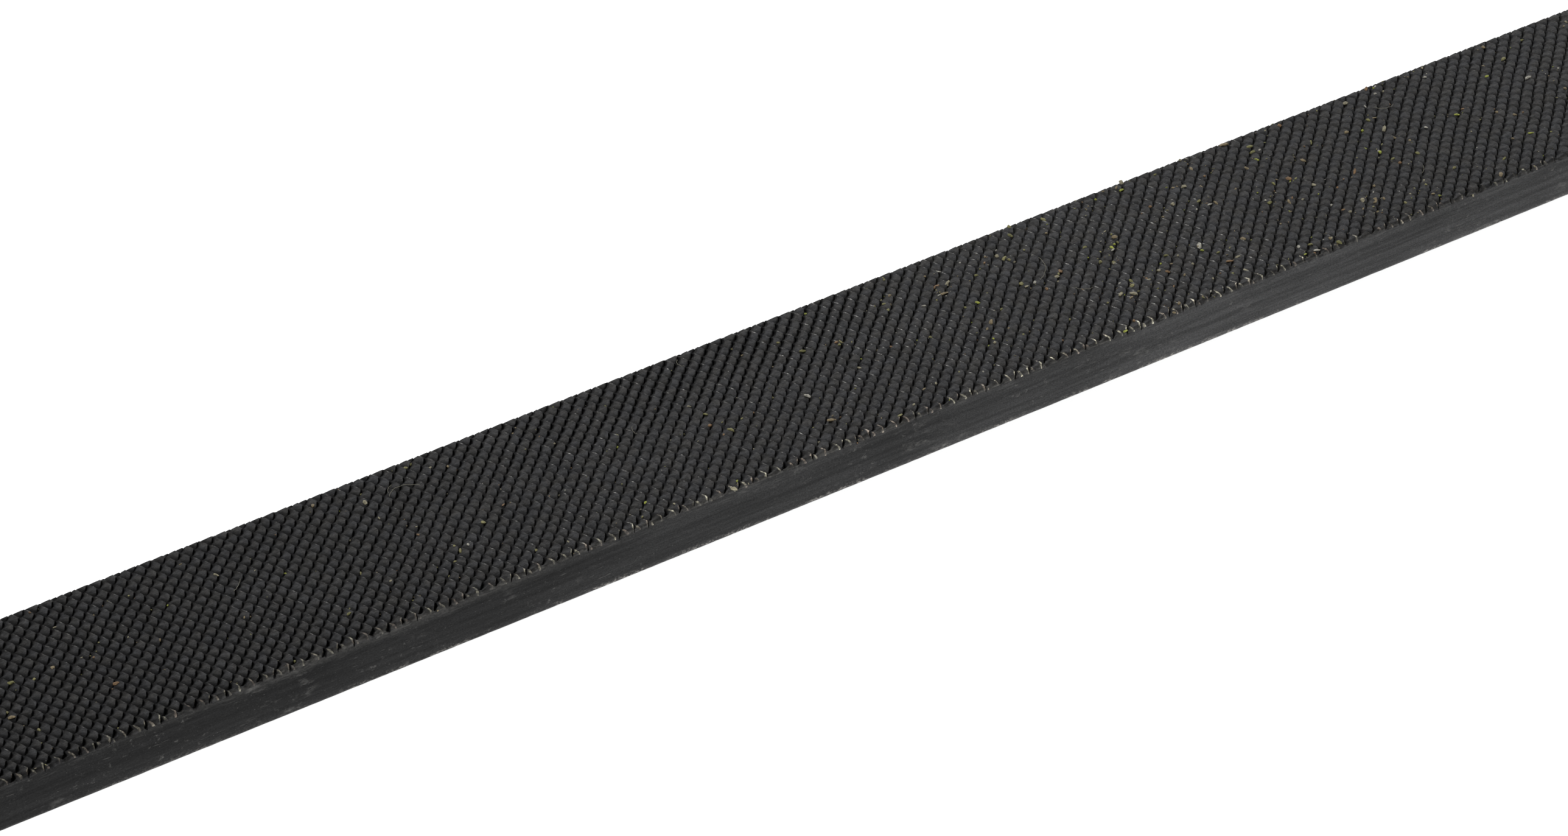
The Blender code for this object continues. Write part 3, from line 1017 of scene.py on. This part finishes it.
def beech():
    """Beech under varnish: pale brown, with growth rings, fine fibres and short dark flecks."""
    finish = Finish("varnished_beech", Coat_Weight=0.45, Coat_Roughness=0.16, Roughness=0.42)
    window = finish.window
    blend = finish.blend
    pith = {"Vector": finish.place, "Location": (0, 0.021, 0.034)}
    across = finish.vector("MULTIPLY", finish.add("ShaderNodeMapping", pith), (0.02, 1, 1))
    wander = finish.noise(0.016, stretch=(0.25, 1, 1), detail=2.0)
    from_pith = finish.add("ShaderNodeVectorMath", {0: across}, output=1, operation="LENGTH")
    rings = finish.maths("MULTIPLY_ADD", wander, 0.0032, from_pith)
    rings = finish.maths("FRACT", finish.maths("DIVIDE", rings, 0.0021))
    rings = finish.times(finish.maths("POWER", rings, 2.2), 0.42)
    fibres = finish.noise(0.00032, stretch=(0.03, 1, 1), detail=4.0, roughness=0.65)
    flecks = finish.noise(0.00050, stretch=(0.22, 1, 1), detail=2.0, shift=(6.0, 0, 0))
    clouds = finish.noise(0.011, stretch=(0.35, 1, 1), shift=(0, 3.0, 0))
    handled = finish.noise(0.020, detail=4.0, roughness=0.6, shift=(1.0, 7.0, 0))
    colour = blend(window(clouds, 0.3, 0.7), (0.50, 0.285, 0.125), (0.60, 0.355, 0.165))
    for share, tone in (
        (rings, (0.36, 0.185, 0.075)),
        (window(fibres, 0.48, 0.75, 0, 0.45), (0.37, 0.195, 0.085)),
        (window(fibres, 0.25, 0.45, 0.3, 0), (0.68, 0.43, 0.22)),
        (window(flecks, 0.61, 0.67, 0, 0.55), (0.25, 0.115, 0.045)),
        (window(handled, 0.50, 0.72, 0, 0.35), (0.16, 0.085, 0.04)),
    ):
        colour = blend(share, colour, tone)
    finish.feed("Base Color", colour)
    finish.feed("Roughness", window(clouds, 0.3, 0.7, 0.36, 0.50))
    finish.feed("Normal", finish.relief(handled, 0.00005, finish.relief(fibres, 0.00003)))
    return finish.material


def handle_outline():
    """Points (x, radius) from the butt's flat to the end of the ferrule's seat."""
    outline = [(0.0, BUTT_RADIUS * 0.5), (0.0, BUTT_RADIUS - BUTT_ROUND * 0.4)]
    for step in range(1, DOME_RINGS):
        turn = math.pi / 2 * step / DOME_RINGS
        x = BELLY_PLACE * (1 - math.cos(turn))
        outline.append((x, BUTT_RADIUS + (belly_radius - BUTT_RADIUS) * math.sin(turn)))
    stations = [
        (BELLY_PLACE, belly_radius),
        (WAIST_PLACE, WAIST_RADIUS),
        (COLLAR_PLACE, COLLAR_RADIUS),
        (collar_end, COLLAR_EDGE_RADIUS),
    ]
    for (x, radius), (next_x, next_radius) in zip(stations, stations[1:]):
        for step in range(GRIP_RINGS):
            share = step / GRIP_RINGS
            outline.append((x + (next_x - x) * share, ease(radius, next_radius, share)))
    for place in LINE_PLACES:
        outline += line_outline(outline, place)
    seat_radius = ferrule_far.z - FERRULE_WALL - CLEARANCE
    outline.sort()
    return outline + [
        (collar_end, COLLAR_EDGE_RADIUS),
        (collar_end, seat_radius),
        (seat_end, seat_radius),
    ]


def line_outline(outline, place):
    """A small round-bottomed groove at this place on the outline."""
    radius = min(outline, key=lambda station: abs(station[0] - place))[1]
    points = []
    for share in LINE_SHARES:
        depth = LINE_DEPTH * math.cos(math.pi / 2 * share)
        points.append((place + LINE_HALF_WIDTH * share, radius - depth))
    return points


def flats_share(x):
    """How flat the grip's sides are at x: 1 is an octagon and 0 is round."""
    beyond = max(FLATS_START - x, x - FLATS_END, 0)
    return ease(0, 1, max(0, 1 - beyond / FLATS_FADE))


def handle_section(x, radius):
    """A ring of the handle: eight flats whose arrises are sanded round."""
    half_side = 180 / GRIP_FLATS
    share = flats_share(x)
    ring = []
    for side in range(GRIP_FLATS):
        for turn in (-half_side, *FLAT_TURNS):
            sanded = max(0, (abs(turn) - FLAT_HALF_ANGLE) / (half_side - FLAT_HALF_ANGLE))
            stand_out = (1 / math.cos(math.radians(turn)) - 1) * (1 - (1 - ARRIS_SHARE) * sanded**1.5)
            reach = radius * (1 + share * stand_out)
            angle = math.radians(2 * half_side * side + turn)
            ring.append((x, reach * math.sin(angle), reach * math.cos(angle)))
    return ring


def handle():
    """The wooden handle, with its socket for the tang."""
    shape = bmesh.new()
    loft(shape, [handle_section(x, radius) for x, radius in handle_outline()])
    face_outward(shape)
    wood = add_object("wooden_handle", shape, beech())
    socket = bmesh.new()
    ends = []
    for x in (tang_end - SOCKET_SPARE, seat_end + SOCKET_SPARE):
        wide, thick = (half + CLEARANCE for half in tang_section(x))
        ends.append([(x, wide, -thick), (x, wide, thick), (x, -wide, thick), (x, -wide, -thick)])
    loft(socket, ends)
    face_outward(socket)
    cutter = add_object("tang_socket", socket)
    boolean = wood.modifiers.new("tang_socket", "BOOLEAN")
    boolean.operation = "DIFFERENCE"
    boolean.solver = "EXACT"
    boolean.object = cutter
    keep_result(wood)
    discard(cutter)
    shade(wood, WOOD_SHARP_ABOVE)
    return wood


# ------------------------------------------------------------------ ferrule

FERRULE_MOUTH_RADIUS = 0.0056
FERRULE_EDGE_ROUND = 0.0005
FERRULE_EDGE_STEPS = 6
LIP = ((0.0, 0.0002), (0.00008, 0.00006), (0.0003, 0.0))  # a cut rim's rounding: along, and in
BEAD_PLACE = 0.0035  # back edge to the middle of the pressed groove
BEAD_DEPTH = 0.00035
BEAD_HALF_WIDTH = 0.0009
BEAD_STEPS = 12
DENT_PLACE = 0.0085  # back edge to the punch marks that lock the ferrule
DENT_DEPTH = 0.00045
DENT_RADIUS = 0.0011
DENT_STEPS = 14
DENT_MARGIN = 1.2  # the rows of points for a dent reach this far past it
DENT_TURNS = (35.0, 155.0, 275.0)
FERRULE_SIDES = 160
FERRULE_SHARP_ABOVE = 40


def plated_steel():
    """Zinc plate over turned steel: fine rings round it, dulled in patches."""
    finish = Finish("plated_steel", Metallic=1.0, Roughness=0.27)
    window = finish.window
    lines = finish.noise(0.00016, stretch=(1, 0.004, 0.004), roughness=0.6)
    smears = finish.noise(0.0035, detail=4.0, roughness=0.6)
    spots = finish.noise(0.0007, roughness=0.7, shift=(4.0, 0, 0))
    colour = finish.blend(window(smears, 0.3, 0.7), (0.60, 0.60, 0.59), (0.46, 0.455, 0.44))
    colour = finish.blend(window(lines, 0.5, 0.75, 0, 0.35), colour, (0.36, 0.355, 0.34))
    colour = finish.blend(window(spots, 0.64, 0.72, 0, 0.5), colour, (0.22, 0.20, 0.17))
    finish.feed("Base Color", colour)
    finish.feed("Roughness", window(smears, 0.3, 0.7, 0.22, 0.38))
    finish.feed("Normal", finish.relief(lines, 0.000012))
    return finish.material


def ferrule_outline():
    """The cup's wall from its open back, over the outside and the lip, and back along the bore."""
    back, front, radius = ferrule_near.x, ferrule_far.x, ferrule_far.z
    bore = radius - FERRULE_WALL
    outline = [(back, bore)]
    outline += [(back + along, radius - drop) for along, drop in LIP]
    for step in range(BEAD_STEPS + 1):
        share = 2 * step / BEAD_STEPS - 1
        depth = BEAD_DEPTH * (1 + math.cos(math.pi * share)) / 2
        outline.append((back + BEAD_PLACE + BEAD_HALF_WIDTH * share, radius - depth))
    for step in range(DENT_STEPS + 1):
        share = 2 * step / DENT_STEPS - 1
        outline.append((back + DENT_PLACE + DENT_RADIUS * DENT_MARGIN * share, radius))
    for step in range(FERRULE_EDGE_STEPS + 1):
        turn = math.pi / 2 * step / FERRULE_EDGE_STEPS
        x = front - FERRULE_EDGE_ROUND * (1 - math.sin(turn))
        outline.append((x, radius - FERRULE_EDGE_ROUND * (1 - math.cos(turn))))
    outline += [(front - along, FERRULE_MOUTH_RADIUS + drop) for along, drop in LIP]
    inside = front - FERRULE_WALL
    return outline + [(inside, FERRULE_MOUTH_RADIUS), (inside, bore)]


def ferrule():
    """The plated cup, with its pressed groove and its punch marks."""
    shape = bmesh.new()
    rings = []
    for side in range(FERRULE_SIDES):
        angle = math.tau * side / FERRULE_SIDES
        ring = []
        for x, radius in ferrule_outline():
            for turn in DENT_TURNS:
                off = (angle - math.radians(turn) + math.pi) % math.tau - math.pi
                away = math.hypot(x - ferrule_near.x - DENT_PLACE, off * radius) / DENT_RADIUS
                if away < 1 and radius > ferrule_far.z - FERRULE_WALL / 2:
                    radius -= DENT_DEPTH * (1 + math.cos(math.pi * away)) / 2
            ring.append((x, radius * math.sin(angle), radius * math.cos(angle)))
        rings.append(ring)
    loft(shape, rings, closed=True)
    face_outward(shape)
    cup = add_object("plated_ferrule", shape, plated_steel())
    shade(cup, FERRULE_SHARP_ABOVE)
    return cup


belongs(handle(), "handle")
belongs(ferrule(), "ferrule")


# ------------------------------------------------------------------ filings and fibres

CHIPS = 500.0
CHIPS_PEAK = 0.74  # where along the cut face they lie thickest, as a share of its length
CHIPS_SPREAD = 0.14
CHIPS_AT_PEAK = 2.3  # density there, over what lies everywhere
CHIPS_ANYWHERE = 0.46
CHIPS_LEVEL = 0.35  # they lie only where the steel's normal points up by more than this
CLUSTERS_PER_METRE = 420.0
CLUSTER_SHARPNESS = 7.0
CHIP_SMALLEST = 0.00004
CHIP_LARGEST = 0.00021
CHIP_SEED = 4  # 0 would take the time of day
CHIPS_SEED = 7
CHIP_LUMPS = 2.3  # how quickly a flake's lumps follow each other, and how far they stand out
CHIP_CROOKEDNESS = 0.55
CHIP_FLATNESS = 0.75
CHIP_SHADES = (  # each from this share of all chips to the next
    (0.00, (0.44, 0.41, 0.18)),
    (0.20, (0.60, 0.66, 0.10)),
    (0.27, (0.33, 0.32, 0.12)),
    (0.40, (0.42, 0.33, 0.19)),
    (0.64, (0.55, 0.50, 0.34)),
    (0.80, (0.40, 0.24, 0.12)),
    (0.90, (0.75, 0.72, 0.62)),
)
FIBRES = 11
FIBRES_SEED = 21
FIBRES_SPAN = (0.15, 0.95)  # where they lie along the cut face
FIBRES_REACH = 0.8  # and how far towards its edges
FIBRE_CURL = 0.16  # most that a fibre turns at each of its steps
FIBRE_WOBBLE = 0.1
FIBRE_STEP = (0.00007, 0.00024)
FIBRE_LIFT = 0.00003  # it rises and falls by this over the crests
FIBRE_WAVE = 1.7
FIBRE_RADIUS = 0.000013
FIBRE_STEPS = 14
FIBRE_SIDES = 5


def chip_colours():
    """Filings of several metals and paints, each chip its own colour."""
    finish = Finish("filings", Roughness=0.6)
    ramp = finish.tree.nodes.new("ShaderNodeValToRGB")
    ramp.color_ramp.interpolation = "CONSTANT"
    stops = ramp.color_ramp.elements
    while len(stops) < len(CHIP_SHADES):
        stops.new(0.5)
    for stop, (place, colour) in zip(stops, CHIP_SHADES):
        stop.position = place
        stop.color = (*colour, 1.0)
    finish.tree.links.new(finish.attribute("tint"), ramp.inputs["Fac"])
    dirt = finish.patches(0.00015, (0.3, 0.7, 0, 0.5), detail=2.0)
    finish.feed("Base Color", finish.blend(dirt, ramp.outputs["Color"], (0.05, 0.045, 0.03)))
    return finish.material


def one_chip():
    """A crooked flake with twenty faces."""
    noise.seed_set(CHIP_SEED)
    shape = bmesh.new()
    bmesh.ops.create_icosphere(shape, subdivisions=1, radius=1.0)
    for corner in shape.verts:
        corner.co += noise.noise_vector(corner.co * CHIP_LUMPS) * CHIP_CROOKEDNESS
        corner.co.z *= CHIP_FLATNESS
    return add_object("one_chip", shape)


def filings(face):
    """Chips caught between the teeth, more of them towards the point."""
    chip = one_chip()
    values = {
        "Face": face,
        "Chip": chip,
        "Chips": CHIPS,
        "Face Area": (slab_end - slab_start) * 2 * half_width,
        "Start": slab_start,
        "Length": slab_end - slab_start,
        "Smallest": CHIP_SMALLEST,
        "Largest": CHIP_LARGEST,
        "Seed": CHIPS_SEED,
        "Material": chip_colours(),
    }
    wiring, given = tree_with_inputs("filings", values)
    maths = wiring.maths
    times = wiring.times

    def chance(seed, low=0.0, high=1.0):
        sockets = {2: low, 3: high, "Seed": seed}
        return wiring.add("FunctionNodeRandomValue", sockets, output=1, data_type="FLOAT")

    steel = wiring.add("GeometryNodeObjectInfo", {"Object": given["Face"]}, output=4)
    level = maths("GREATER_THAN", wiring.split(wiring.add("GeometryNodeInputNormal"))[2], CHIPS_LEVEL)
    spot = wiring.add("GeometryNodeInputPosition")
    along = maths("DIVIDE", wiring.minus(wiring.split(spot)[0], given["Start"]), given["Length"])
    sockets = {"Vector": spot, "Scale": CLUSTERS_PER_METRE, "Detail": 3.0}
    clusters = wiring.add("ShaderNodeTexNoise", sockets)
    clusters = maths("POWER", times(clusters, 2.0), CLUSTER_SHARPNESS)
    rising = wiring.bell(along, CHIPS_PEAK, CHIPS_SPREAD)
    rising = maths("MULTIPLY_ADD", rising, CHIPS_AT_PEAK, CHIPS_ANYWHERE)
    density = times(maths("DIVIDE", given["Chips"], given["Face Area"]), rising, clusters)
    sockets = {"Mesh": steel, "Selection": level, "Density": density, "Seed": given["Seed"]}
    points = wiring.add("GeometryNodeDistributePointsOnFaces", sockets)
    flake = wiring.add("GeometryNodeObjectInfo", {"Object": given["Chip"]}, output=4)
    turn = wiring.joined(chance(11, -0.5, 0.5), chance(12, -0.5, 0.5), chance(13, 0.0, 6.28))
    spread = wiring.minus(given["Largest"], given["Smallest"])
    size = maths("MULTIPLY_ADD", maths("POWER", chance(14), 3.0), spread, given["Smallest"])
    stretch = wiring.joined(chance(15, 0.7, 1.9), chance(16, 0.5, 1.0), chance(17, 0.5, 1.0))
    size = wiring.scaled(stretch, size)
    sockets = {"Points": points, "Instance": flake, "Rotation": turn, "Scale": size}
    chips = wiring.add("GeometryNodeInstanceOnPoints", sockets)
    sockets = {"Geometry": chips, "Name": "tint", "Value": chance(18)}
    chips = wiring.add("GeometryNodeStoreNamedAttribute", sockets, data_type="FLOAT", domain="INSTANCE")
    chips = wiring.add("GeometryNodeRealizeInstances", {"Geometry": chips})
    wiring.send_out(chips, given["Material"])
    scattered = grow("filings", wiring, values)
    discard(chip)
    return scattered


def pale_fibre():
    """Grubby undyed cloth."""
    finish = Finish("pale_fibre", Roughness=0.7)
    tone = finish.noise(0.001, detail=2.0)
    finish.feed("Base Color", finish.blend(tone, (0.26, 0.24, 0.17), (0.44, 0.42, 0.35)))
    return finish.material


def fibres():
    """Fine hairs of cloth lying across the crests."""
    chance = random.Random(FIBRES_SEED)
    shape = bmesh.new()
    for _ in range(FIBRES):
        x = ease(cut_start, slab_end, chance.uniform(*FIBRES_SPAN))
        place = Vector((x, chance.uniform(-FIBRES_REACH, FIBRES_REACH) * half_width, 0))
        heading = chance.uniform(0, math.tau)
        curl = chance.uniform(-FIBRE_CURL, FIBRE_CURL)
        step = chance.uniform(*FIBRE_STEP)
        rings = []
        for count in range(FIBRE_STEPS):
            heading += curl + chance.uniform(-FIBRE_WOBBLE, FIBRE_WOBBLE)
            forward = Vector((math.cos(heading), math.sin(heading), 0))
            aside = Vector((-forward.y, forward.x, 0))
            lift = FIBRE_LIFT * math.sin(count * FIBRE_WAVE)
            height = face_height(place.x) + FIBRE_RADIUS * 0.4 + lift
            ring = []
            for side in range(FIBRE_SIDES):
                turn = math.tau * side / FIBRE_SIDES
                offset = aside * math.cos(turn) + Vector((0, 0, math.sin(turn)))
                ring.append(Vector((place.x, place.y, height)) + offset * FIBRE_RADIUS)
            rings.append(ring)
            place += forward * step
        loft(shape, rings)
    face_outward(shape)
    return add_object("fibres", shape, pale_fibre())


belongs(filings(upper_cut_face), "file_blade")
belongs(fibres(), "file_blade")


# ------------------------------------------------------------------ the stage

VIEW_TARGET = Vector((0.1809, -0.0030, 0.00175))
VIEW_DISTANCE = 0.38716
VIEW_AZIMUTH = 30.71  # from +Y towards +X
VIEW_ELEVATION = 32.57
VIEW_ROLL = -3.96
LENS = 137.5
SENSOR = 36.0
SKY_STRENGTH = 0.40
FLOOR_GLOW = 0.95
FLOOR_REACH = 2.0


def set_camera():
    azimuth = math.radians(VIEW_AZIMUTH)
    elevation = math.radians(VIEW_ELEVATION)
    forward = Vector((
        math.sin(azimuth) * math.cos(elevation),
        math.cos(azimuth) * math.cos(elevation),
        -math.sin(elevation),
    ))
    right = Vector((math.cos(azimuth), -math.sin(azimuth), 0))
    right.rotate(Matrix.Rotation(math.radians(-VIEW_ROLL), 3, forward))
    up = right.cross(forward)
    camera = bpy.data.objects.new("camera", bpy.data.cameras.new("camera"))
    camera.data.lens = LENS
    camera.data.sensor_width = SENSOR
    camera.data.clip_start = 0.01
    turn = Matrix((right, up, -forward)).transposed().to_4x4()
    camera.matrix_world = Matrix.Translation(VIEW_TARGET - forward * VIEW_DISTANCE) @ turn
    bpy.context.scene.collection.objects.link(camera)
    bpy.context.scene.camera = camera


def set_world():
    world = bpy.data.worlds.new("studio")
    world.use_nodes = True
    sky = world.node_tree.nodes["Background"]
    sky.inputs["Color"].default_value = (1.0, 1.0, 1.0, 1.0)
    sky.inputs["Strength"].default_value = SKY_STRENGTH
    bpy.context.scene.world = world


def add_softbox(name, place, size, power):
    """A square lamp that faces the middle of the tool."""
    lamp = bpy.data.lights.new(name, "AREA")
    lamp.size = size
    lamp.energy = power
    softbox = bpy.data.objects.new(name, lamp)
    softbox.location = place
    towards = Vector((handle_far.x + point, 0, 0)) / 2 - Vector(place)
    softbox.rotation_euler = towards.to_track_quat("-Z", "Y").to_euler()
    bpy.context.scene.collection.objects.link(softbox)


def white_card():
    """A pale floor that glows a little, as a lit card does under a product."""
    finish = Finish("white_card", Roughness=0.9, Emission_Strength=FLOOR_GLOW)
    tone = finish.noise(0.4, detail=2.0)
    finish.feed("Base Color", finish.blend(tone, (0.55, 0.55, 0.55), (0.57, 0.57, 0.57)))
    finish.shader.inputs["Emission Color"].default_value = (1.0, 1.0, 1.0, 1.0)
    return finish.material


def add_floor():
    """The card lies level under the tool as it rests: on the grip's belly and on the point."""
    rest = Vector((point - POINT_CHAMFER, 0, -face_height(point)))
    slope = max((rest.z + radius) / (rest.x - x) for x, radius in handle_outline())
    shape = bmesh.new()
    corners = []
    for x, y in ((-1, -1), (1, -1), (1, 1), (-1, 1)):
        run = x * FLOOR_REACH
        corners.append(shape.verts.new((rest.x + run, y * FLOOR_REACH, rest.z + slope * run)))
    shape.faces.new(corners)
    floor = add_object("floor", shape, white_card())


set_camera()
set_world()
add_softbox("back_softbox", (0.78, 1.00, 0.75), 1.2, 4.5)
add_softbox("front_softbox", (-0.45, -0.60, 0.90), 0.6, 1.5)
add_floor()
bpy.context.scene.view_settings.view_transform = "Standard"
